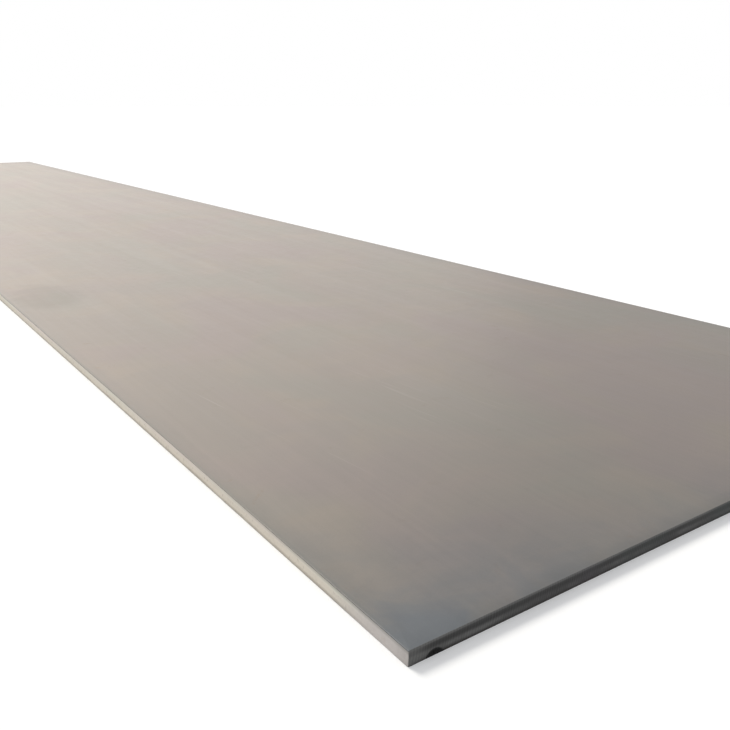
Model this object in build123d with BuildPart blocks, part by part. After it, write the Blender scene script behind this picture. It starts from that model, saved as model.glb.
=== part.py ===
"""Hot-rolled structural steel plate, sheared along its sides and flame-cut at its ends.

The plate lies flat: length along Y, width along X, thickness up Z, with the origin
at the centre of its lower face. Its near end is at the -Y end.

The trimming shear came down through the upper face, so the two long edges have the
section that shearing leaves. From the top: the rounded roll-over where the face was
dragged down, the smooth upright land that the blade burnished, the rougher break that
leans outwards to the lower face, and a narrow dressed corner where the burr was ground
off. The plate was then cut to length with a flame from above: each end face leans a
little outwards, its upper edge is melted round and its lower edge was chipped clean.
Handling knocked the four corners blunt. Beside the near left corner the flame gouged
the lower edge of the cut.
"""

import os
from math import sqrt

from build123d import *

# Stock size, measured over the widest part of the cut edges
length = 12000.0
width = 2200.0
thickness = 30.0

# Sheared long edges, from the upper face down
rollover_drop = 1.6
rollover_reach = 2.6
burnished_land = 9.5
break_lean = 1.3
dressed_corner = 0.5

# Flame-cut ends, from the upper face down
melted_edge = 1.2
flame_lean = 0.9
chipped_corner = 0.4

# Corners knocked blunt in handling, seen from above: their radius, and what the tip lost
knocked_radius = 12.0
knocked_depth = 2.2

# What the rolled plate had outside its stock size on each side and end, before it was cut
crop = 20.0

# Gouge in the near end's lower edge: its size there, and its place from the left side
gouge_inset = 55.0
gouge_width = 36.0
gouge_depth = 6.0
gouge_height = 11.0


def sheared_section():
    """Returns the outline across the plate, with a sheared edge on the left and the right."""
    widest = width / 2
    land = widest - break_lean
    land_top = thickness - rollover_drop
    with BuildLine() as outline:
        lower_face = Line((0, 0), (widest - dressed_corner, 0))
        dressed = Line(lower_face @ 1, (widest, dressed_corner))
        broken = Line(dressed @ 1, (land, land_top - burnished_land))
        burnished = Line(broken @ 1, (land, land_top))
        rolled_over = EllipticalCenterArc(
            (land - rollover_reach, land_top), rollover_reach, rollover_drop, arc_size=90
        )
        Line(rolled_over @ 1, (0, thickness))
        mirror(about=Plane.YZ)
    return outline.line


def flame_cut_section():
    """Returns the outline along the plate, with a flame-cut end on the left and the right."""
    longest = length / 2
    melted_centre = (longest - flame_lean - melted_edge, thickness - melted_edge)
    with BuildLine() as outline:
        lower_face = Line((0, 0), (longest - chipped_corner, 0))
        chipped = Line(lower_face @ 1, (longest, chipped_corner))
        melted = CenterArc(melted_centre, melted_edge, 0, 90)
        Line(chipped @ 1, melted @ 0)
        Line(melted @ 1, (0, thickness))
        mirror(about=Plane.YZ)
    return outline.line


# The gouge is a ball's bite into the end, as wide, deep and high as stated where it meets the face
half_gouge = gouge_width / 2
gouge_ball = (half_gouge**2 + gouge_depth**2) / (2 * gouge_depth)
gouge_centre = (gouge_inset - width / 2, gouge_depth - gouge_ball - length / 2, gouge_height - half_gouge)

# The blunt corners' centres lie this far in from both edges
knocked_inset = (knocked_radius + knocked_depth) / sqrt(2)

with BuildPart() as steel_plate:
    # Trimmed along both sides, with the same section over the whole rolled length
    with BuildSketch(Plane.XZ):
        add(sheared_section())
        make_face()
    extrude(amount=length / 2 + crop, both=True)

    # Flame-cut to length at both ends
    with BuildSketch(Plane.YZ):
        add(flame_cut_section())
        make_face()
    extrude(amount=width / 2 + crop, both=True, mode=Mode.INTERSECT)

    # Knocked blunt at the corners
    with BuildSketch(Plane.XY.offset(-crop)):
        with GridLocations(width, length, 2, 2):
            Rectangle(2 * knocked_inset, 2 * knocked_inset)
        with GridLocations(width - 2 * knocked_inset, length - 2 * knocked_inset, 2, 2):
            Circle(knocked_radius, mode=Mode.SUBTRACT)
    extrude(amount=thickness + 2 * crop, mode=Mode.SUBTRACT)

    # Gouged by the flame
    with Locations(gouge_centre):
        Sphere(gouge_ball, mode=Mode.SUBTRACT)

steel_plate.part.label = "steel_plate"
os.makedirs("parts", exist_ok=True)
export_step(steel_plate.part, "parts/steel_plate.step")

size = steel_plate.part.bounding_box().size
print(f"steel_plate {size.X:.1f} x {size.Y:.1f} x {size.Z:.1f} mm, volume {steel_plate.part.volume:.0f} mm3")
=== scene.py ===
"""Looks of a hot-rolled steel plate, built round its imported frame.

The plate is one piece of stock: mill scale on both faces, sheared long edges and
flame-cut ends. Lengths are in metres, in the plate's own frame: X across the width,
Y along the rolling direction, Z up from the face that it rests on.
"""

import logging
import math
from abc import ABC, abstractmethod
from dataclasses import dataclass, field, replace
from enum import Enum
from typing import Any, Callable, Sequence

import bpy
import numpy as np
from bpy.types import ID, Material, Mesh, Node, NodeSocket, NodeTree, Object, World
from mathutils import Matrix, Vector


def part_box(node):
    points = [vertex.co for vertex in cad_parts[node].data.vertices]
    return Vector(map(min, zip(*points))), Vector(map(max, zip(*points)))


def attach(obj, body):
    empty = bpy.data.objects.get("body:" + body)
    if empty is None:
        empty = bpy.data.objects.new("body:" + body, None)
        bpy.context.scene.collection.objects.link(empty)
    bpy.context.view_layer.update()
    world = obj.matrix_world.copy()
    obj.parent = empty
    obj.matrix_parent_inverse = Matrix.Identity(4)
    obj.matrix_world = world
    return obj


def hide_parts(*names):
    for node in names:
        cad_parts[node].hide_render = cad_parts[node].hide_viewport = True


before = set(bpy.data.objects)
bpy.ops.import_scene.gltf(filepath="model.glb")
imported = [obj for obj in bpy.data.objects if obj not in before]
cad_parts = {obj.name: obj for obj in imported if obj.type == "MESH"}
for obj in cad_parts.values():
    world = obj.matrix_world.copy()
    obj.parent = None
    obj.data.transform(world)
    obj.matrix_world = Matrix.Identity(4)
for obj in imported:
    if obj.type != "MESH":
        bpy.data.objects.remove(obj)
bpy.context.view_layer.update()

log = logging.getLogger("steel_plate")
MM = 0.001
NEARLY = 0.01 * MM
FULL_TURN = 2.0 * math.pi
PLATE_NODE = "steel_plate"
WHITE = (1.0, 1.0, 1.0)
Colour = tuple[float, float, float]


def _worked_by(operation: str, swapped: bool = False) -> Callable[..., "Term"]:
    """Makes a method of Term that adds the Math node for an operation.

    Args:
        operation: the Math node's operation.
        swapped: whether the other number comes first, as in a reflected operator.

    Returns:
        The method. It takes the other number, if there is one, and returns the node's output.
    """
    def method(this: "Term", *others: "Number") -> "Term":
        """Returns this worked with the others."""
        return this.tree.math(operation, *((*others, this) if swapped else (this, *others)))

    return method


class Term:
    """A node's output that takes part in sums: each operator adds the Math node that works it out."""

    def __init__(self, tree: "Tree", socket: NodeSocket) -> None:
        """Wraps an output socket of this tree."""
        self.tree = tree
        self.socket = socket

    __add__ = _worked_by("ADD")
    __radd__ = _worked_by("ADD", swapped=True)
    __sub__ = _worked_by("SUBTRACT")
    __rsub__ = _worked_by("SUBTRACT", swapped=True)
    __mul__ = _worked_by("MULTIPLY")
    __rmul__ = _worked_by("MULTIPLY", swapped=True)
    __truediv__ = _worked_by("DIVIDE")
    __abs__ = _worked_by("ABSOLUTE")
    floor = _worked_by("FLOOR")
    fract = _worked_by("FRACT")
    sine = _worked_by("SINE")
    least = _worked_by("MINIMUM")
    most = _worked_by("MAXIMUM")

    def clamped(self) -> "Term":
        """Returns this held between 0 and 1."""
        return self.most(0.0).least(1.0)

    def rise(self, low: float, high: float) -> "Term":
        """Returns a smooth step of this.

        Args:
            low: where the step leaves 0.
            high: where it reaches 1. Below low, the step falls instead.

        Returns:
            0 before low, 1 past high, and smooth between.
        """
        share = ((self - low) / (high - low)).clamped()
        return share * share * (3.0 - 2.0 * share)

    def bump_at(self, centre: float, reach: float) -> "Term":
        """Returns 1 where this is centre, and falls smoothly to 0 at reach to either side."""
        return abs(self - centre).rise(reach, 0.0)

    def swing(self, amount: float) -> "Term":
        """Returns how far this noise is from its middle, times amount."""
        return amount * (self - 0.5)


Number = Term | float
Plug = Term | NodeSocket | float | tuple | str | ID


class Tree:
    """Adds nodes to a node tree, of a material, the world or a modifier."""

    def __init__(self, tree: NodeTree) -> None:
        """Keeps the tree that the nodes go to."""
        self.tree = tree

    def give(self, node: Node, **inputs: Plug) -> None:
        """Gives a node's inputs their values.

        Args:
            node: the node.
            **inputs: a Term or an output to link, or a value to set. A socket is named in lower
                case with underscores for spaces, or as i and its number.
        """
        named = {s.name.lower().replace(" ", "_"): s for s in reversed(node.inputs) if s.enabled}
        for name, value in inputs.items():
            socket = node.inputs[int(name[1:])] if name[1:].isdigit() else named[name]
            if isinstance(value, Term):
                self.tree.links.new(value.socket, socket)
            elif isinstance(value, NodeSocket):
                self.tree.links.new(value, socket)
            else:
                socket.default_value = (*value, 1.0) if socket.type == "RGBA" else value

    def node(self, kind: str, settings: dict[str, Any] | None = None, **inputs: Plug) -> Node:
        """Adds a node of any type.

        Args:
            kind: the node's type, as Blender names it.
            settings: what is set on the node itself before its inputs are given.
            **inputs: what its sockets are given.

        Returns:
            The node.
        """
        made = self.tree.nodes.new(kind)
        for name, value in (settings or {}).items():
            setattr(made, name, value)
        self.give(made, **inputs)
        return made

    def term(self, kind: str, output: str | int = 0, settings: dict[str, Any] | None = None,
             **inputs: Plug) -> Term:
        """Adds a node and returns one of its outputs, named or numbered, as a Term."""
        return Term(self, self.node(kind, settings, **inputs).outputs[output])

    def math(self, operation: str, *values: Number) -> Term:
        """Adds a Math node with this operation and its inputs in order, and returns its output."""
        inputs = {f"i{number}": value for number, value in enumerate(values)}
        return self.term("ShaderNodeMath", 0, {"operation": operation}, **inputs)

    def vector(self, x: Number, y: Number, z: Number) -> Term:
        """Returns a vector made of three numbers or Terms."""
        return self.term("ShaderNodeCombineXYZ", x=x, y=y, z=z)

    def parts(self, vector: Term) -> tuple[Term, ...]:
        """Returns a vector's three numbers."""
        split = self.node("ShaderNodeSeparateXYZ", vector=vector)
        return tuple(Term(self, output) for output in split.outputs)

    def scaled(self, vector: Term | NodeSocket, level: Number) -> NodeSocket:
        """Returns a vector or a colour times a number."""
        return self.node("ShaderNodeVectorMath", {"operation": "SCALE"}, i0=vector, i3=level).outputs[0]

    def noise(self, place: Term, scale: float, detail: float = 2.0, roughness: float = 0.5,
              distortion: float = 0.0) -> Term:
        """Returns smooth noise around a half at this place, with this many features to the metre."""
        return self.term(
            "ShaderNodeTexNoise", 0, {"noise_dimensions": "3D"},
            vector=place, scale=scale, detail=detail, roughness=roughness, distortion=distortion,
        )

    def attribute(self, name: str, kind: str) -> Term:
        """Returns a mesh's attribute of this kind, in a geometry tree."""
        return self.term("GeometryNodeInputNamedAttribute", "Attribute", {"data_type": kind}, name=name)

    def backdrop(self) -> Term:
        """Returns 1 for rays from the camera and off gloss, which see the background, and 0 for others."""
        rays = self.node("ShaderNodeLightPath")
        return Term(self, rays.outputs["Is Camera Ray"]).most(Term(self, rays.outputs["Is Glossy Ray"]))


def emptied(owner: Material | World) -> Tree:
    """Turns on the nodes of a material or world, and returns its tree with nothing in it."""
    owner.use_nodes = True
    owner.node_tree.nodes.clear()
    return Tree(owner.node_tree)


def placed(name: str, data: ID) -> Object:
    """Makes an object of this data and puts it in the scene."""
    made = bpy.data.objects.new(name, data)
    bpy.context.scene.collection.objects.link(made)
    return made


SectionPoint = tuple[float, float]
ROUND_TURNS = tuple(math.radians(turn) for turn in (90, 72, 54, 36, 18, 0))


def rounded(inset: float, foot: float, reach: float, drop: float) -> list[SectionPoint]:
    """Rounds the upper edge of a section.

    Args:
        inset: how far in the wall below the round lies.
        foot: height at which the round meets that wall.
        reach: how far in it goes from the wall.
        drop: how far it comes down.

    Returns:
        Its points as (inset, height), from the upper face down.
    """
    return [(inset + reach * (1 - math.cos(turn)), foot + drop * math.sin(turn)) for turn in ROUND_TURNS]


@dataclass(frozen=True)
class ShearedEdge:
    """Section of a long edge, from the upper face down. Reach and lean are measured inwards."""

    rollover_drop: float = 1.6 * MM
    rollover_reach: float = 2.6 * MM
    burnished_land: float = 9.5 * MM
    break_lean: float = 1.3 * MM
    dressed_corner: float = 0.5 * MM
    break_shares: tuple[float, ...] = (0.25, 0.5, 0.72, 0.88, 1.0)

    def land_foot(self, thickness: float) -> float:
        """Returns the height at which the land ends and the break begins."""
        return thickness - self.rollover_drop - self.burnished_land

    def rows(self, thickness: float) -> list[SectionPoint]:
        """Draws the section.

        Args:
            thickness: the plate's thickness.

        Returns:
            Its points as (inset, height), from the upper face to the lower.
        """
        land_top = thickness - self.rollover_drop
        foot = self.land_foot(thickness)
        broken = [
            (self.break_lean * (1 - share), foot + (self.dressed_corner - foot) * share)
            for share in self.break_shares
        ]
        return [
            *rounded(self.break_lean, land_top, self.rollover_reach, self.rollover_drop),
            (self.break_lean, (land_top + foot) / 2),
            (self.break_lean, foot),
            *broken,
            (self.dressed_corner, 0.0),
        ]


@dataclass(frozen=True)
class FlameCutEdge:
    """Section of an end, from the upper face down."""

    melted_edge: float = 1.2 * MM
    flame_lean: float = 0.9 * MM
    chipped_corner: float = 0.4 * MM

    def rows(self, thickness: float, heights: Sequence[float]) -> list[SectionPoint]:
        """Draws the section, with as many points as a long edge's.

        Args:
            thickness: the plate's thickness.
            heights: heights of the long edge's points. Those between its round and its foot are kept.

        Returns:
            Its points as (inset, height), from the upper face to the lower.
        """
        cut_top = thickness - self.melted_edge
        slope = self.flame_lean / (cut_top - self.chipped_corner)
        return [
            *rounded(self.flame_lean, cut_top, self.melted_edge, self.melted_edge),
            *((slope * (height - self.chipped_corner), height) for height in heights[len(ROUND_TURNS):-2]),
            (0.0, self.chipped_corner),
            (self.chipped_corner, 0.0),
        ]


@dataclass(frozen=True)
class Gouge:
    """A ball's bite out of the near end's lower edge, as wide, deep and high as it is there.

    The slag that ran down it froze in its foot, in lumps; the end's material paints the whole gouge near
    black, as painted shade.
    """

    inset: float = 55.0 * MM
    width: float = 36.0 * MM
    depth: float = 6.0 * MM
    height: float = 11.0 * MM
    slag_height: float = 4.0 * MM
    lump_pitch: float = 9.0 * MM
    lump_share: float = 0.3

    @property
    def radius(self) -> float:
        """The ball's radius."""
        half = self.width / 2
        return (half**2 + self.depth**2) / (2 * self.depth)

    def centre(self, half_width: float, half_length: float) -> tuple[float, float, float]:
        """Returns the ball's centre, from half the plate's width and length."""
        return (
            self.inset - half_width,
            self.depth - self.radius - half_length,
            self.height - self.width / 2,
        )

    def bite(self, points: np.ndarray, half_width: float, half_length: float) -> np.ndarray:
        """Pushes the points that lie in the ball back to its far side, along Y, less so in the slag.

        Args:
            points: places, one to a row.
            half_width: half the plate's width.
            half_length: half its length.

        Returns:
            The places with the gouge in them.
        """
        centre = self.centre(half_width, half_length)
        across = (points[:, 0] - centre[0]) ** 2 + (points[:, 2] - centre[2]) ** 2
        wall = centre[1] + np.sqrt(np.maximum(self.radius**2 - across, 0.0))
        in_ball = (across < self.radius**2) & (points[:, 1] < wall)
        inside = in_ball & (points[:, 1] < -half_length + self.depth)
        lumps = 1.0 + self.lump_share * np.sin(points[:, 0] * (FULL_TURN / self.lump_pitch))
        clear = np.clip(points[:, 2] / (self.slag_height * lumps), 0.0, 1.0) ** 3
        bitten = points.copy()
        bitten[inside, 1] += ((wall - points[:, 1]) * clear)[inside]
        return bitten


@dataclass(frozen=True)
class DragLines:
    """Fine lines that the flame drew down a cut, which lag more and more towards its foot."""

    pitch: Number = 6.0 * MM
    lag: Number = 5.0 * MM
    sway: float = 12.0 * MM
    sways_per_metre: float = 30.0

    def drawn(self, tree: Tree, x: Term, y: Term, depth: Term, shift: Number = 0.0) -> tuple[Term, Term]:
        """Draws the lines.

        Args:
            tree: the tree to draw them in.
            x: the place across the plate.
            y: the place along it.
            depth: 0 at the upper face, 1 at the foot.
            shift: how far aside the noise that they sway with is read.

        Returns:
            The lines, from 0 to 1, and that noise.
        """
        wander = tree.noise(tree.vector(x + shift, y, 0.0), self.sways_per_metre, 2.0, 0.5)
        phase = (x + depth * depth * self.lag + wander * self.sway) / self.pitch
        return (phase * FULL_TURN).sine() * 0.5 + 0.5, wander


@dataclass
class Surface:
    """A surface being dressed: its tree and shader, the point that they colour, and its colour so far."""

    tree: Tree
    shader: Node
    place: Term
    x: Term
    y: Term
    z: Term
    colour: Plug = WHITE

    def coat(self, share: Number, tone: Colour) -> None:
        """Mixes a share of a tone over the colour so far."""
        settings = {"data_type": "RGBA", "blend_type": "MIX", "clamp_factor": True}
        mix = self.tree.node("ShaderNodeMix", settings, i0=share, i6=self.colour, i7=tone)
        self.colour = mix.outputs[2]

    def settle(self, level: Term, rough: Term, **others: Plug) -> None:
        """Gives the shader the colour times a level, a roughness, and other inputs."""
        shade = self.tree.scaled(self.colour, level)
        self.tree.give(self.shader, base_color=shade, roughness=rough, **others)

    def relieve(self, height: Term, strength: float, depth: float) -> None:
        """Gives the shader fine relief, of a strength and of a depth in metres."""
        raised = self.tree.node("ShaderNodeBump", strength=strength, distance=depth, height=height)
        self.tree.give(self.shader, normal=raised.outputs["Normal"])


@dataclass(frozen=True)
class Gaps:
    """How far a point of the plate lies from each of its four edges."""

    left: Term
    right: Term
    near: Term
    far: Term

    def side(self) -> Term:
        """Returns how far the nearer long edge is."""
        return self.left.least(self.right)

    def end(self) -> Term:
        """Returns how far the nearer end is."""
        return self.near.least(self.far)


@dataclass(frozen=True)
class Finish(ABC):
    """What a surface of the plate is made to look like. Each kind writes its own pattern."""

    name: str
    half_width: float
    half_length: float
    top: float

    def material(self) -> Material:
        """Makes the material.

        Returns:
            A material with one Principled shader, dressed by this finish.
        """
        made = bpy.data.materials.new(self.name)
        tree = emptied(made)
        shader = tree.node("ShaderNodeBsdfPrincipled")
        tree.node("ShaderNodeOutputMaterial", surface=shader.outputs["BSDF"])
        place = tree.term("ShaderNodeTexCoord", "Object")
        self.dress(Surface(tree, shader, place, *tree.parts(place)))
        return made

    @abstractmethod
    def dress(self, on: Surface) -> None:
        """Gives a surface its colour, roughness and relief."""


@dataclass(frozen=True)
class MillScale(Finish):
    """Thin dull oxide from hot rolling, drawn out along the plate and clouded across it."""

    scale_tone: Colour = (0.214, 0.193, 0.168)
    tan_tone: Colour = (0.228, 0.199, 0.164)
    green_tone: Colour = (0.203, 0.196, 0.167)
    mauve_tone: Colour = (0.218, 0.186, 0.171)
    blue_and_shade_tone: Colour = (0.118, 0.131, 0.143)
    # Also painted shade over the near end.
    rust_tone: Colour = (0.235, 0.150, 0.092)
    bare_tone: Colour = (0.40, 0.375, 0.335)
    # Darker edges, partly painted shade beside the rounded edges.
    dark_edge_and_shade_tone: Colour = (0.150, 0.146, 0.132)
    sheen_tone: Colour = (1.0, 0.93, 0.95)
    metal_share: float = 0.46
    scuff_share: float = 0.11
    smudge_place: tuple[float, float] = (-0.93, -3.10)
    smudge_reach: tuple[float, float] = (0.13, 0.26)

    def dress(self, on: Surface) -> None:
        """Clouds, rolling streaks, rust, scuffs, a smudge, bluing and darker edges over the scale; the
        bluing and some of the darker edges are painted shade.

        Args:
            on: the surface.
        """
        tree, place, x, y, z = on.tree, on.place, on.x, on.y, on.z
        streaks = tree.noise(tree.vector(x, y * 0.05, z), 13.0, 4.0, 0.58)
        fine_streaks = tree.noise(tree.vector(x, y * 0.02, z), 85.0, 3.0, 0.55)
        clouds = tree.noise(place, 0.62, 3.0, 0.5, 0.4)
        patches = tree.noise(place, 2.4, 4.0, 0.55, 0.8)
        mottle = tree.noise(place, 24.0, 5.0, 0.62)
        grain = tree.noise(place, 240.0, 3.0, 0.6)
        rusty = tree.noise(place, 15.0, 6.0, 0.72, 0.5).rise(0.60, 0.78)
        scuff_lines = tree.noise(tree.vector(x + y * 0.12, y * 0.015 - x * 0.002, z), 150.0, 2.0, 0.4)
        scuffs = scuff_lines.rise(0.66, 0.76) * tree.noise(place, 1.1, 3.0, 0.5).rise(0.50, 0.66)
        smudge = self._smudge(x, y, patches)
        gaps = Gaps(x + self.half_width, self.half_width - x, y + self.half_length, self.half_length - y)

        self._cloud(on, patches)
        by_edge = gaps.side().least(gaps.end()).rise(0.16, 0.0)
        on.coat(rusty * (0.08 + 0.5 * by_edge), self.rust_tone)
        on.coat(scuffs * self.scuff_share, self.bare_tone)
        self._darken(on, gaps, mottle.swing(20.0 * MM))
        self._blue(on, gaps)
        # The level is also painted shade: darker towards the near end, and on the rounded long edges.
        level = (
            1.0 + clouds.swing(0.20) + streaks.swing(0.12) + fine_streaks.swing(0.10)
            + mottle.swing(0.16) + grain.swing(0.10) + patches.swing(0.10) - 0.07 * smudge
            - 0.07 * gaps.near.rise(0.9, 0.0) - 0.24 * gaps.side().rise(4.6 * MM, 3.2 * MM)
        )
        rough = (
            0.44 + mottle.swing(0.12) + streaks.swing(0.12) + clouds.swing(0.08)
            + 0.08 * rusty - 0.07 * scuffs + 0.035 * smudge
        )
        on.settle(level, rough, metallic=self.metal_share, specular_tint=self.sheen_tone)
        on.relieve(grain * 0.25 + mottle * 0.75 + fine_streaks * 0.4, 0.3, 0.4 * MM)

    def _smudge(self, x: Term, y: Term, patches: Term) -> Term:
        """Returns the soft smudge, 1 at its middle, with an outline that the patches make uneven."""
        across = (x - self.smudge_place[0]) / self.smudge_reach[0]
        along = (y - self.smudge_place[1]) / self.smudge_reach[1]
        return (across * across + along * along + patches.swing(3.0)).rise(1.6, 0.1)

    def _cloud(self, on: Surface, patches: Term) -> None:
        """Lays the scale's own tones: tan patches, and green and mauve hues.

        Args:
            on: the surface.
            patches: noise that the tan patches follow.
        """
        hues = on.tree.noise(on.tree.vector(on.x + 7.0, on.y * 0.6 - 3.0, on.z), 1.7, 3.0, 0.5, 0.8)
        on.colour = self.scale_tone
        on.coat(patches.rise(0.42, 0.66) * 0.8, self.tan_tone)
        on.coat(hues.rise(0.5, 0.66) * 0.75, self.green_tone)
        on.coat(hues.rise(0.5, 0.34) * 0.75, self.mauve_tone)

    def _darken(self, on: Surface, gaps: Gaps, waver: Term) -> None:
        """Darkens the scale along the edges, most of all the right one far away; the bands beside the
        rounded long edges are painted shade.

        Args:
            on: the surface.
            gaps: how far the edges are.
            waver: what makes the dark borders uneven, in metres.
        """
        side = gaps.side()
        # The bands beside the long edges are painted shade of the rounded edge.
        dark = 0.45 * (side + waver).rise(60.0 * MM, 4.0 * MM) + 0.55 * side.rise(13.0 * MM, 6.0 * MM)
        on.coat(dark * 0.75, self.dark_edge_and_shade_tone)
        dim_rim = (0.15 + 0.50 * on.y.rise(-4.5, 4.0)) * (gaps.right + waver).rise(0.15, 0.03)
        dim_rim = dim_rim + 0.45 * gaps.far.rise(0.60, 0.10)
        on.coat(dim_rim.clamped(), self.dark_edge_and_shade_tone)
        on.coat((gaps.end() + waver).rise(45.0 * MM, 2.0 * MM) * 0.35, self.dark_edge_and_shade_tone)

    def _blue(self, on: Surface, gaps: Gaps) -> None:
        """Blues and darkens the scale near the near end, most of all in its left corner: partly blue-grey
        scale, partly painted shade where the near end takes less sheen.

        Args:
            on: the surface.
            gaps: how far the edges are.
        """
        clouds = on.tree.noise(on.place, 7.0, 4.0, 0.6, 0.6).rise(0.32, 0.68)
        blued = (gaps.near + gaps.left * 0.30).rise(0.55, 0.0) * (0.42 + 0.45 * clouds)
        corner = (gaps.near + gaps.left * 0.8).rise(0.24, 0.02) * (0.20 + 0.2 * clouds)
        # Painted shade over the near end.
        near_shade = gaps.near.rise(1.5, 0.2) * 0.10
        on.coat((blued * 0.8 + corner + near_shade).clamped(), self.blue_and_shade_tone)


@dataclass(frozen=True)
class ShearedSteel(Finish):
    """Bright cut steel: a burnished land above a torn, mottled break."""

    land_foot: float
    land_tone: Colour = (0.68, 0.635, 0.56)
    pale_tone: Colour = (0.68, 0.66, 0.57)
    pink_tone: Colour = (0.69, 0.62, 0.56)
    break_tone: Colour = (0.67, 0.62, 0.54)
    # Pits, and painted shade along the foot.
    pit_and_shade_tone: Colour = (0.32, 0.285, 0.245)
    # Painted shade under the upper edge.
    dark_edge_and_shade_tone: Colour = (0.22, 0.21, 0.19)
    rust_tone: Colour = (0.42, 0.30, 0.20)
    # Painted shade towards the ends.
    end_shade_tone: Colour = (0.51, 0.480, 0.475)
    metal_share: float = 0.3
    gloss: float = 0.35
    shaded_depth: tuple[float, float] = (12.0 * MM, 1.6 * MM)

    def dress(self, on: Surface) -> None:
        """Upright drag marks on the land, torn facets with pits below it, and painted shade along the foot,
        under the upper edge and towards the ends.

        Args:
            on: the surface.
        """
        tree, x, y, z = on.tree, on.x, on.y, on.z
        along = tree.vector(x, y, 0.0)
        drag = tree.noise(tree.vector(x, y, z * 0.08), 260.0, 3.0, 0.6)
        tears = tree.noise(tree.vector(x, y, z * 0.6), 120.0, 5.0, 0.65)
        stretches = tree.noise(along, 1.4, 4.0, 0.6)
        hues = tree.noise(along, 2.3, 3.0, 0.5)
        waver = tree.noise(along, 9.0, 4.0, 0.6)
        below = (z - (self.land_foot + waver.swing(9.0 * MM))).rise(0.8 * MM, -0.8 * MM)
        end_gap = self.half_length - abs(y)

        on.colour = self.land_tone
        on.coat(hues.rise(0.5, 0.64), self.pale_tone)
        on.coat(hues.rise(0.5, 0.36), self.pink_tone)
        on.coat(below * 0.8, self.break_tone)
        pits = tears.rise(0.54, 0.70) * below
        on.coat(pits * 0.6, self.pit_and_shade_tone)
        # Painted shade along the foot.
        foot_shade = (z + waver.swing(7.0 * MM)).rise(9.5 * MM, 0.5 * MM)
        on.coat(foot_shade * (0.45 + 0.6 * stretches), self.pit_and_shade_tone)
        # Painted shade towards the ends.
        end_shade = (end_gap + waver.swing(0.1)).rise(0.26, 0.07)
        on.coat(end_shade * 0.85, self.end_shade_tone)
        rusty = tree.noise(on.place, 22.0, 5.0, 0.7).rise(0.60, 0.76)
        on.coat(rusty * 0.22, self.rust_tone)
        # Painted shade under the upper edge, deeper towards the ends.
        upper = z.rise(self.top - self.shaded_depth[0], self.top - self.shaded_depth[1])
        on.coat(upper * (0.16 + 0.40 * end_gap.rise(0.9, 0.1)), self.dark_edge_and_shade_tone)
        level = (
            1.0 + stretches.swing(0.18) + drag.swing(0.16) * (1.0 - below) + tears.swing(0.24) * below
            # Painted shade right at the ends.
            - 0.14 * end_gap.rise(0.05, 0.0)
        )
        rough = 0.56 + 0.18 * below + drag.swing(0.12)
        on.settle(level, rough, metallic=self.metal_share, specular_ior_level=self.gloss)
        on.relieve(drag * (1.0 - below) * 0.35 + tears * below, 0.5, 0.6 * MM)


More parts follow.
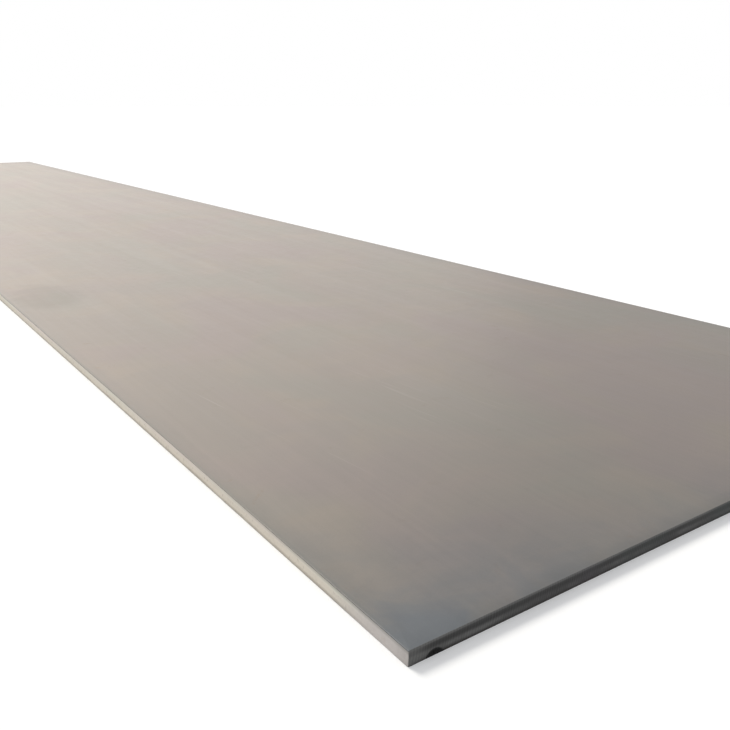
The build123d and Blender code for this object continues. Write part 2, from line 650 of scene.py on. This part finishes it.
@dataclass(frozen=True)
class FlameCutSteel(Finish):
    """Dark oxide on a flame-cut end, lined by the cut from top to bottom. Its darkness is also painted
    shade.
    """

    lines: DragLines
    gouge_centre: tuple[float, float, float]
    gouge_radius: float
    slag_shade_fade: tuple[float, float] = (3.0 * MM, 0.6 * MM)
    # Oxide, darkened further as painted shade.
    oxide_and_shade_tone: Colour = (0.056, 0.055, 0.055)
    lit_tone: Colour = (0.120, 0.120, 0.118)
    rim_tone: Colour = (0.120, 0.121, 0.120)
    # Painted reflection of dark ground, high on the end.
    dark_reflection_tone: Colour = (0.030, 0.030, 0.030)
    # Painted shade at the foot.
    foot_shade_tone: Colour = (0.030, 0.025, 0.021)
    # Near black: painted shade in the gouge.
    slag_and_shade_tone: Colour = (0.010, 0.010, 0.010)
    violet_tone: Colour = (0.064, 0.056, 0.068)
    teal_tone: Colour = (0.046, 0.055, 0.054)
    gloss: float = 0.22

    def dress(self, on: Surface) -> None:
        """Drag lines, a soft rim, painted light and shade in paler, darker and browner patches, violet and
        teal hues, and near-black slag in the gouge, which is painted shade.

        Args:
            on: the surface.
        """
        tree, x, y, z = on.tree, on.x, on.y, on.z
        lines, _ = self.lines.drawn(tree, x, y, 1.0 - z / self.top)
        clouds = tree.noise(on.place, 4.0, 4.0, 0.6)
        fine = tree.noise(tree.vector(x, y, z * 0.3), 300.0, 3.0, 0.6)
        settings = {"operation": "DISTANCE"}
        away = tree.term("ShaderNodeVectorMath", "Value", settings, i0=on.place, i1=self.gouge_centre)
        # Painted shade over the whole gouge, as near-black slag.
        slag_and_shade = (away - self.gouge_radius).rise(*self.slag_shade_fade)

        self._band(on, clouds)
        hues = tree.noise(tree.vector(x, y, z * 0.5), 3.2, 3.0, 0.5)
        inward = (self.half_width - abs(x)).rise(0.10, 0.35)
        on.coat(hues.rise(0.50, 0.66) * inward * 0.5, self.violet_tone)
        on.coat(hues.rise(0.50, 0.34) * inward * 0.5, self.teal_tone)
        on.coat(slag_and_shade, self.slag_and_shade_tone)
        level = 1.0 + lines.swing(0.22) + fine.swing(0.24) + clouds.swing(0.30)
        rough = 0.62 + fine.swing(0.12) + clouds.swing(0.1) + 0.2 * slag_and_shade
        on.settle(level, rough, specular_ior_level=self.gloss)
        on.relieve(lines * 0.5 + fine, 0.5, 0.6 * MM)

    def _band(self, on: Surface, clouds: Term) -> None:
        """Lays the cut's tones: a lighter rim, a dark band high up that is a painted reflection of dark
        ground, paler patches low down and by the corner that are painted light, and a browner foot that is
        painted shade.

        Args:
            on: the surface.
            clouds: noise that the seam and the foot follow.
        """
        tree, x, y, z = on.tree, on.x, on.y, on.z
        patches = tree.noise(tree.vector(x, y, z * 2.0), 11.0, 4.0, 0.6)
        height = z + tree.noise(tree.vector(x, y, 0.0), 6.0, 4.0, 0.6).swing(7.0 * MM)
        corner_gap = self.half_width - abs(x)
        by_corner = corner_gap.rise(60.0 * MM, 12.0 * MM)

        # Painted light: paler patches low down and by the corner.
        lower = height.bump_at(self.top * 0.34, self.top * 0.30) * (
            0.7 * patches.rise(0.38, 0.62) + 0.6 * corner_gap.rise(380.0 * MM, 160.0 * MM)
        )
        on.colour = self.oxide_and_shade_tone
        on.coat((lower + by_corner * 0.7).clamped(), self.lit_tone)
        # Painted shade at the foot.
        foot = z.rise(self.top * 0.24, 0.0) * (0.60 + 0.40 * clouds.rise(0.4, 0.6))
        on.coat(foot * (1.0 - 0.7 * by_corner), self.foot_shade_tone)
        # Painted reflection of dark ground, high on the end.
        dark_reflection = height.bump_at(self.top * 0.68, self.top * 0.26) * (0.35 + 0.9 * clouds)
        on.coat((dark_reflection * (1.0 - 0.8 * by_corner)).clamped(), self.dark_reflection_tone)
        on.coat(z.rise(self.top * 0.82, self.top * 0.95), self.rim_tone)


class Zone(Enum):
    """The plate's kinds of surface, numbered as its material slots."""

    SCALE = 0
    SHEARED = 1
    FLAME_CUT = 2


class Worked(Enum):
    """What works a point of the plate, named as the mesh's attribute that says how much."""

    TORN = "torn"
    FLAMED = "flamed"
    FACED = "faced"


@dataclass(frozen=True)
class EdgeRelief:
    """Geometry Nodes tree that works the edges and the upper face: strokes, tears, drag lines and waves."""

    stroke_pitch: float = 1.35
    stroke_step: float = 0.5 * MM
    joint_reach: float = 0.012
    joint_share: float = 0.6
    break_depth: float = 0.8 * MM
    tears_per_metre: float = 75.0
    lines: DragLines = DragLines()
    drag_depth: float = 0.35 * MM
    wave_height: float = 1.2 * MM
    waves_per_metre: float = 0.7
    seed: int = 11
    seed_shift: float = 3.7
    outward: str = "outward"
    zone: str = "zone"

    def sizes(self, thickness: float) -> dict[str, float]:
        """Returns the tree's named inputs and their values, for a plate of this thickness."""
        return {
            "Stroke Pitch": self.stroke_pitch,
            "Stroke Step": self.stroke_step,
            "Break Depth": self.break_depth,
            "Drag Pitch": self.lines.pitch,
            "Drag Depth": self.drag_depth,
            "Drag Lag": self.lines.lag,
            "Wave Height": self.wave_height,
            "Thickness": thickness,
            "Seed": self.seed,
        }

    def group(self, sizes: dict[str, float],
              materials: Sequence[Material]) -> tuple[NodeTree, dict[str, str]]:
        """Builds the tree.

        Args:
            sizes: its named inputs.
            materials: the plate's materials, in the order of the zones.

        Returns:
            The group, which moves the points of a mesh that holds the attributes named in outward,
            zone and Worked, and gives its zones their materials. With it, its inputs' identifiers.
        """
        made = bpy.data.node_groups.new("plate_relief", "GeometryNodeTree")
        made.interface.new_socket(name="Geometry", in_out="INPUT", socket_type="NodeSocketGeometry")
        made.interface.new_socket(name="Geometry", in_out="OUTPUT", socket_type="NodeSocketGeometry")
        identifiers = {}
        for name, value in sizes.items():
            kind = "NodeSocketInt" if isinstance(value, int) else "NodeSocketFloat"
            socket = made.interface.new_socket(name=name, in_out="INPUT", socket_type=kind)
            identifiers[name] = socket.identifier

        tree = Tree(made)
        given = tree.node("NodeGroupInput")
        moved = tree.node(
            "GeometryNodeSetPosition", geometry=given.outputs["Geometry"],
            offset=self._offset(tree, {s.name: Term(tree, s) for s in given.outputs if s.name}),
        )
        dressed = tree.node("GeometryNodeRealizeInstances", geometry=moved.outputs["Geometry"])
        zone = tree.attribute(self.zone, "INT")
        for number, material in enumerate(materials):
            dressed = tree.node(
                "GeometryNodeSetMaterial", geometry=dressed.outputs["Geometry"],
                selection=tree.math("COMPARE", zone, float(number), 0.5), material=material,
            )
        tree.node("NodeGroupOutput", geometry=dressed.outputs["Geometry"])
        return made, identifiers

    def _offset(self, tree: Tree, size: dict[str, Term]) -> NodeSocket:
        """Works out how a point of the plate moves.

        Args:
            tree: the tree.
            size: its named inputs.

        Returns:
            The move, which goes inwards everywhere.
        """
        x, y, z = tree.parts(tree.term("GeometryNodeInputPosition"))
        shift = size["Seed"] * self.seed_shift
        torn, flamed, faced = (tree.attribute(kind.value, "FLOAT") for kind in Worked)

        stroke = y / size["Stroke Pitch"]
        step = tree.noise(tree.vector(stroke.floor() * 5.3 + shift, x * 3.0, 0.0), 1.0, 0.0)
        share = stroke.fract()
        joint = share.bump_at(0.0, self.joint_reach) + share.bump_at(1.0, self.joint_reach)
        strokes = size["Stroke Step"] * (step + joint * self.joint_share)
        tears = tree.noise(tree.vector(y + shift, x, z * 1.6), self.tears_per_metre, 3.0, 0.6)
        side_loss = torn * size["Break Depth"] * tears.rise(0.3, 0.75)

        cut = replace(self.lines, pitch=size["Drag Pitch"], lag=size["Drag Lag"])
        lines, wander = cut.drawn(tree, x, y, 1.0 - z / size["Thickness"], shift)
        end_loss = flamed * size["Drag Depth"] * (lines * 0.7 + 0.3 * wander)

        waves = tree.noise(tree.vector(x * 0.8 + shift, y, 0.0), self.waves_per_metre, 2.0, 0.4)
        face_loss = faced * size["Wave Height"] * waves.rise(0.25, 0.75)

        loss = side_loss + end_loss + face_loss + strokes * torn * 0.5
        return tree.scaled(tree.attribute(self.outward, "FLOAT_VECTOR"), loss * -1.0)

    def worked(self, plate: Object, thickness: float, materials: Sequence[Material]) -> Mesh:
        """Works a plate's mesh.

        Args:
            plate: the plate's object, whose mesh isn't worked yet.
            thickness: its thickness.
            materials: its materials, in the order of the zones.

        Returns:
            The result as a plain mesh without the tree's attributes. The modifier is gone again.
        """
        sizes = self.sizes(thickness)
        modifier = plate.modifiers.new("relief", "NODES")
        modifier.node_group, identifiers = self.group(sizes, materials)
        for name, value in sizes.items():
            modifier[identifiers[name]] = value
        graph = bpy.context.evaluated_depsgraph_get()
        mesh = bpy.data.meshes.new_from_object(plate.evaluated_get(graph), depsgraph=graph)
        plate.modifiers.remove(modifier)
        for name in (self.outward, self.zone, *(kind.value for kind in Worked)):
            left = mesh.attributes.get(name)
            if left is not None:
                mesh.attributes.remove(left)
        return mesh


@dataclass
class Shell:
    """Points and faces of the plate's mesh as they are laid, each face with its zone."""

    blocks: list[np.ndarray] = field(default_factory=list)
    faces: list[tuple[int, ...]] = field(default_factory=list)
    zones: list[int] = field(default_factory=list)
    count: int = 0

    @property
    def points(self) -> np.ndarray:
        """All points so far, one to a row."""
        return np.vstack(self.blocks)

    def lay(self, points: np.ndarray) -> np.ndarray:
        """Adds points, one to a row, and returns their numbers."""
        self.blocks.append(points)
        self.count += len(points)
        return np.arange(self.count - len(points), self.count)

    def face(self, corners: Sequence[int], zone: Zone, as_given: bool = True) -> None:
        """Adds a face by its points' numbers, turned over unless it is to be as given."""
        self.faces.append(tuple(int(corner) for corner in (corners if as_given else corners[::-1])))
        self.zones.append(zone.value)

    def join(self, outer: Sequence[int], inner: Sequence[int], zone: Zone, as_given: bool) -> None:
        """Joins two runs of points of different spacing by triangles.

        Args:
            outer: numbers of the outer run's points.
            inner: those of the inner run, which goes the same way.
            zone: the triangles' zone.
            as_given: whether the triangles look up, for an outer run that goes anticlockwise.
        """
        points = self.points
        outer_at, inner_at = self._shares(points[list(outer)]), self._shares(points[list(inner)])
        i = j = 0
        while i < len(outer) - 1 or j < len(inner) - 1:
            inner_done = j == len(inner) - 1
            if inner_done or (i < len(outer) - 1 and outer_at[i + 1] <= inner_at[j + 1]):
                self.face((outer[i], outer[i + 1], inner[j]), zone, as_given)
                i += 1
            else:
                self.face((outer[i], inner[j + 1], inner[j]), zone, as_given)
                j += 1

    @staticmethod
    def _shares(run: np.ndarray) -> np.ndarray:
        """Returns how far along a run each of its points lies, from 0 to 1."""
        total = np.concatenate([[0.0], np.cumsum(np.linalg.norm(np.diff(run, axis=0), axis=1))])
        return total / total[-1]


@dataclass
class RolledPlate:
    """The plate: its sizes from the frame, its edges' sections, and the spacing of its mesh."""

    low: Vector
    high: Vector
    side: ShearedEdge = ShearedEdge()
    end: FlameCutEdge = FlameCutEdge()
    gouge: Gouge = Gouge()
    relief: EdgeRelief = EdgeRelief()
    knocked_radius: float = 12.0 * MM
    knocked_depth: float = 2.2 * MM
    side_step: float = 8.0 * MM
    end_step: float = 1.6 * MM
    corner_step: float = 1.5 * MM
    corner_reach: float = 12.0 * MM
    margin: float = 40.0 * MM
    face_step: float = 50.0 * MM
    under_step: float = 250.0 * MM
    side_band: float = 6.0 * MM
    end_band: float = 4.0 * MM
    foot_skip: float = 0.2 * MM
    top_skip: float = 1.0 * MM
    land_share: float = 0.12
    wave_fade: float = 6.0
    sharp_angle: float = 34.0

    @property
    def half_width(self) -> float:
        """Half the plate's width."""
        return (self.high.x - self.low.x) / 2

    @property
    def half_length(self) -> float:
        """Half the plate's length."""
        return (self.high.y - self.low.y) / 2

    @property
    def thickness(self) -> float:
        """The plate's thickness."""
        return self.high.z - self.low.z

    def _spaced(self, span: float, step: float) -> np.ndarray:
        """Spaces points along an edge, close together at both ends.

        Args:
            span: the edge's length.
            step: the spacing between the ends.

        Returns:
            Their places as shares of the span.
        """
        near = np.arange(0.0, self.corner_reach, self.corner_step)
        steps = round((span - 2 * self.corner_reach) / step)
        middle = np.linspace(self.corner_reach, span - self.corner_reach, steps + 1)
        return np.concatenate([near, middle, span - near[::-1]]) / span

    def _ring(self, side_point: SectionPoint, end_point: SectionPoint,
              shares: Sequence[np.ndarray]) -> list[np.ndarray]:
        """Returns a closed ring as four runs, from the near left corner, anticlockwise from above.

        Args:
            side_point: how far in from the long edges the ring lies, and its height there.
            end_point: the same at the ends.
            shares: places along an end and along a side, as shares.

        Returns:
            Four arrays of points. Each leaves out its last corner, where the next begins.
        """
        wide, long = self.half_width - side_point[0], self.half_length - end_point[0]
        heights = (end_point[1], side_point[1])
        corners = np.array([(-wide, -long), (wide, -long), (wide, long), (-wide, long), (-wide, -long)])
        runs = []
        for number, (start, stop) in enumerate(zip(corners, corners[1:])):
            flat = start + (stop - start) * shares[number % 2][:-1, None]
            runs.append(np.hstack([flat, np.full((len(flat), 1), heights[number % 2])]))
        return runs

    def _blunted(self, points: np.ndarray) -> np.ndarray:
        """Pulls the points of each corner in to the curve that handling knocked it to.

        Args:
            points: places, one to a row.

        Returns:
            The places with the four corners blunt.
        """
        inset = (self.knocked_radius + self.knocked_depth) / math.sqrt(2)
        centre = np.array([self.half_width - inset, self.half_length - inset])
        out = np.abs(points[:, :2]) - centre
        reach = np.linalg.norm(out, axis=1)
        far = (out > 0).all(axis=1) & (reach > self.knocked_radius)
        scale = self.knocked_radius / reach[far]
        pulled = points.copy()
        pulled[far, :2] = np.sign(points[far, :2]) * (centre + out[far] * scale[:, None])
        return pulled

    def _rim(self, shell: Shell) -> list[list[list[int]]]:
        """Lays the edge all round, row by row from the upper face to the lower.

        Args:
            shell: the mesh so far.

        Returns:
            The numbers of each row's points, as four runs that each end where the next begins.
        """
        side_rows = self.side.rows(self.thickness)
        end_rows = self.end.rows(self.thickness, [height for _, height in side_rows])
        shares = (
            self._spaced(2 * self.half_width, self.end_step),
            self._spaced(2 * self.half_length, self.side_step),
        )
        rows = []
        for side_point, end_point in zip(side_rows, end_rows):
            runs = self._ring(side_point, end_point, shares)
            numbers = shell.lay(self._blunted(np.vstack(runs))).tolist()
            starts = np.cumsum([0, *(len(run) for run in runs)])
            ring = [*numbers, numbers[0]]
            rows.append([ring[start:stop + 1] for start, stop in zip(starts, starts[1:])])
        for number, (upper_row, lower_row) in enumerate(zip(rows, rows[1:]), start=1):
            side_zone = Zone.SCALE if number < len(ROUND_TURNS) else Zone.SHEARED
            for turn, (upper, lower) in enumerate(zip(upper_row, lower_row)):
                zone = Zone.FLAME_CUT if turn % 2 == 0 else side_zone
                for i in range(len(upper) - 1):
                    shell.face((upper[i], lower[i], lower[i + 1], upper[i + 1]), zone)
        return rows

    def _cap(self, shell: Shell, border: Sequence[Sequence[int]], step: float, upper: bool) -> None:
        """Closes the plate with a flat face: a grid, and a strip of triangles from it to the edge.

        Args:
            shell: the mesh so far.
            border: the four runs of the edge's row that the face meets.
            step: the grid's spacing.
            upper: whether this is the upper face.
        """
        wide, long = self.half_width - self.margin, self.half_length - self.margin
        columns, rows = round(2 * wide / step), round(2 * long / step)
        x, y = np.meshgrid(np.linspace(-wide, wide, columns + 1), np.linspace(-long, long, rows + 1))
        height = np.full(x.size, shell.points[border[0][0], 2])
        grid = shell.lay(np.column_stack([x.ravel(), y.ravel(), height])).reshape(x.shape)
        for j in range(rows):
            for i in range(columns):
                corners = (grid[j, i], grid[j, i + 1], grid[j + 1, i + 1], grid[j + 1, i])
                shell.face(corners, Zone.SCALE, upper)
        for outer, inner in zip(border, (grid[0], grid[:, -1], grid[-1][::-1], grid[:, 0][::-1])):
            shell.join(outer, inner, Zone.SCALE, upper)

    def mesh(self) -> Mesh:
        """Builds the plate as one closed mesh, before its relief.

        Returns:
            The mesh, with the attributes that the relief reads.
        """
        shell = Shell()
        rows = self._rim(shell)
        rim_count = shell.count
        self._cap(shell, rows[0], self.face_step, True)
        self._cap(shell, rows[-1], self.under_step, False)
        points = self.gouge.bite(shell.points, self.half_width, self.half_length)
        made = bpy.data.meshes.new("rolled_plate")
        made.from_pydata(points.tolist(), [], shell.faces)
        zone = made.attributes.new(self.relief.zone, "INT", "FACE")
        zone.data.foreach_set("value", np.array(shell.zones, np.int32))
        self._weigh(made, points, np.arange(len(points)) < rim_count)
        made.validate()
        return made

    def _weigh(self, mesh: Mesh, points: np.ndarray, in_rim: np.ndarray) -> None:
        """Writes which way each point faces and how much of each kind of relief it takes.

        Args:
            mesh: the plate's mesh.
            points: its places.
            in_rim: which of them belong to the edge all round.
        """
        side_gap = self.half_width - np.abs(points[:, 0])
        end_gap = self.half_length - np.abs(points[:, 1])
        by_side, end_shade = side_gap < self.side_band, end_gap < self.end_band
        height = points[:, 2]
        wall = in_rim & (height > self.foot_skip) & (height < self.thickness - self.top_skip)
        sides, ends = wall & by_side & ~end_shade, wall & end_shade & ~by_side
        upper = (height > self.thickness - NEARLY) & ~in_rim

        outward = np.zeros_like(points)
        outward[sides, 0] = np.sign(points[sides, 0])
        outward[ends, 1] = np.sign(points[ends, 1])
        outward[upper, 2] = 1.0
        attribute = mesh.attributes.new(self.relief.outward, "FLOAT_VECTOR", "POINT")
        attribute.data.foreach_set("vector", outward.astype(np.float32).ravel())

        shares = {kind: np.zeros(len(points)) for kind in Worked}
        broken = height[sides] < self.side.land_foot(self.thickness) + NEARLY
        shares[Worked.TORN][sides] = np.where(broken, 1.0, self.land_share)
        shares[Worked.FLAMED][ends] = 1.0
        inward = (np.minimum(side_gap, end_gap)[upper] - self.margin) / (self.wave_fade * self.margin)
        shares[Worked.FACED][upper] = np.clip(inward, 0.0, 1.0)
        for kind, values in shares.items():
            attribute = mesh.attributes.new(kind.value, "FLOAT", "POINT")
            attribute.data.foreach_set("value", values.astype(np.float32))

    def finishes(self) -> tuple[Finish, ...]:
        """Returns the plate's finishes, in the order of the zones."""
        halves = self.half_width, self.half_length
        gouge = self.gouge.centre(*halves), self.gouge.radius
        return (
            MillScale("mill_scale", *halves, self.thickness),
            ShearedSteel("sheared_steel", *halves, self.thickness, self.side.land_foot(self.thickness)),
            FlameCutSteel("flame_cut_steel", *halves, self.thickness, self.relief.lines, *gouge),
        )

    def build(self) -> Object:
        """Makes the finished plate.

        Returns:
            The plate's object, worked and dressed.
        """
        plate = placed("rolled_steel_plate", self.mesh())
        materials = [finish.material() for finish in self.finishes()]
        plate.data = self.relief.worked(plate, self.thickness, materials)
        plate.data.shade_smooth()
        plate.data.set_sharp_from_angle(angle=math.radians(self.sharp_angle))
        return plate


def pointing(azimuth: float, elevation: float) -> Vector:
    """Returns the direction at an azimuth, counted from +Y towards +X, and an elevation, in degrees."""
    turn, rise = math.radians(azimuth), math.radians(elevation)
    return Vector((math.sin(turn) * math.cos(rise), math.cos(turn) * math.cos(rise), math.sin(rise)))


@dataclass(frozen=True)
class SoftSun:
    """A wide, soft lamp from far away: where it stands, how wide it looks, and its strength and tone."""

    name: str
    azimuth: float
    elevation: float
    spread: float
    strength: float
    tone: Colour

    def hang(self) -> None:
        """Puts the lamp in the scene."""
        lamp = bpy.data.lights.new(self.name, "SUN")
        lamp.energy = self.strength
        lamp.angle = math.radians(self.spread)
        lamp.color = self.tone
        away = pointing(self.azimuth, self.elevation)
        placed(self.name, lamp).rotation_euler = away.to_track_quat("Z", "Y").to_euler()


@dataclass(frozen=True)
class Studio:
    """Floor, lamps, world and camera."""

    camera_place: tuple[float, float, float] = (-1.7609, -6.8337, 0.8553)
    camera_heading: float = 34.721
    camera_dip: float = 18.129
    camera_lens: float = 39.47
    camera_sensor: float = 36.0
    camera_range: tuple[float, float] = (0.05, 400.0)
    floor_reach: float = 150.0
    floor_drop: float = 0.4 * MM
    floor_tone: Colour = (0.86, 0.87, 0.89)
    floor_glow: float = 0.16
    sky_strength: float = 0.62
    lamps: tuple[SoftSun, ...] = (
        SoftSun("high_lamp", -8.5, 45.0, 20.0, 1.8, (1.0, 0.96, 0.87)),
        SoftSun("low_lamp", 10.0, 7.4, 69.0, 0.73, (1.0, 0.96, 0.87)),
    )

    def _floor(self) -> None:
        """Lays the pale floor just below the plate. It glows a little towards the camera."""
        reach, height = self.floor_reach, -self.floor_drop
        corners = [(x * reach, y * reach, height) for x, y in ((-1, -1), (1, -1), (1, 1), (-1, 1))]
        mesh = bpy.data.meshes.new("studio_floor")
        mesh.from_pydata(corners, [], [(0, 1, 2, 3)])
        made = bpy.data.materials.new("studio_floor")
        tree = emptied(made)
        diffuse = tree.node("ShaderNodeBsdfDiffuse", color=self.floor_tone)
        strength = tree.backdrop() * self.floor_glow
        glow = tree.node("ShaderNodeEmission", color=WHITE, strength=strength)
        both = tree.node("ShaderNodeAddShader", i0=diffuse.outputs[0], i1=glow.outputs[0])
        tree.node("ShaderNodeOutputMaterial", surface=both.outputs[0])
        mesh.materials.append(made)
        placed("studio_floor", mesh)

    def _world(self) -> None:
        """Makes the white world, which lights the plate less than it shows itself."""
        world = bpy.data.worlds.new("studio")
        bpy.context.scene.world = world
        tree = emptied(world)
        strength = self.sky_strength + (1.0 - self.sky_strength) * tree.backdrop()
        back = tree.node("ShaderNodeBackground", color=WHITE, strength=strength)
        tree.node("ShaderNodeOutputWorld", surface=back.outputs[0])

    def _camera(self) -> None:
        """Places the camera where the photograph was taken from."""
        data = bpy.data.cameras.new("camera")
        data.sensor_width = self.camera_sensor
        data.lens = self.camera_lens
        data.clip_start, data.clip_end = self.camera_range
        camera = placed("camera", data)
        camera.location = self.camera_place
        ahead = pointing(self.camera_heading, -self.camera_dip)
        camera.rotation_euler = ahead.to_track_quat("-Z", "Y").to_euler()
        bpy.context.scene.camera = camera

    def build(self) -> None:
        """Makes everything round the plate."""
        self._floor()
        self._world()
        for lamp in self.lamps:
            lamp.hang()
        self._camera()
        bpy.context.scene.view_settings.view_transform = "Standard"


def main() -> None:
    """Builds the plate and the studio."""
    logging.basicConfig(level=logging.INFO, format="%(message)s")
    plate = RolledPlate(*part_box(PLATE_NODE)).build()
    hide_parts(PLATE_NODE)
    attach(plate, "root")
    log.info("%s: %d faces", plate.name, len(plate.data.polygons))
    studio = Studio()
    studio.build()
    log.info("studio: floor, world, camera and %d lamps", len(studio.lamps))


if __name__ == "__main__":
    main()
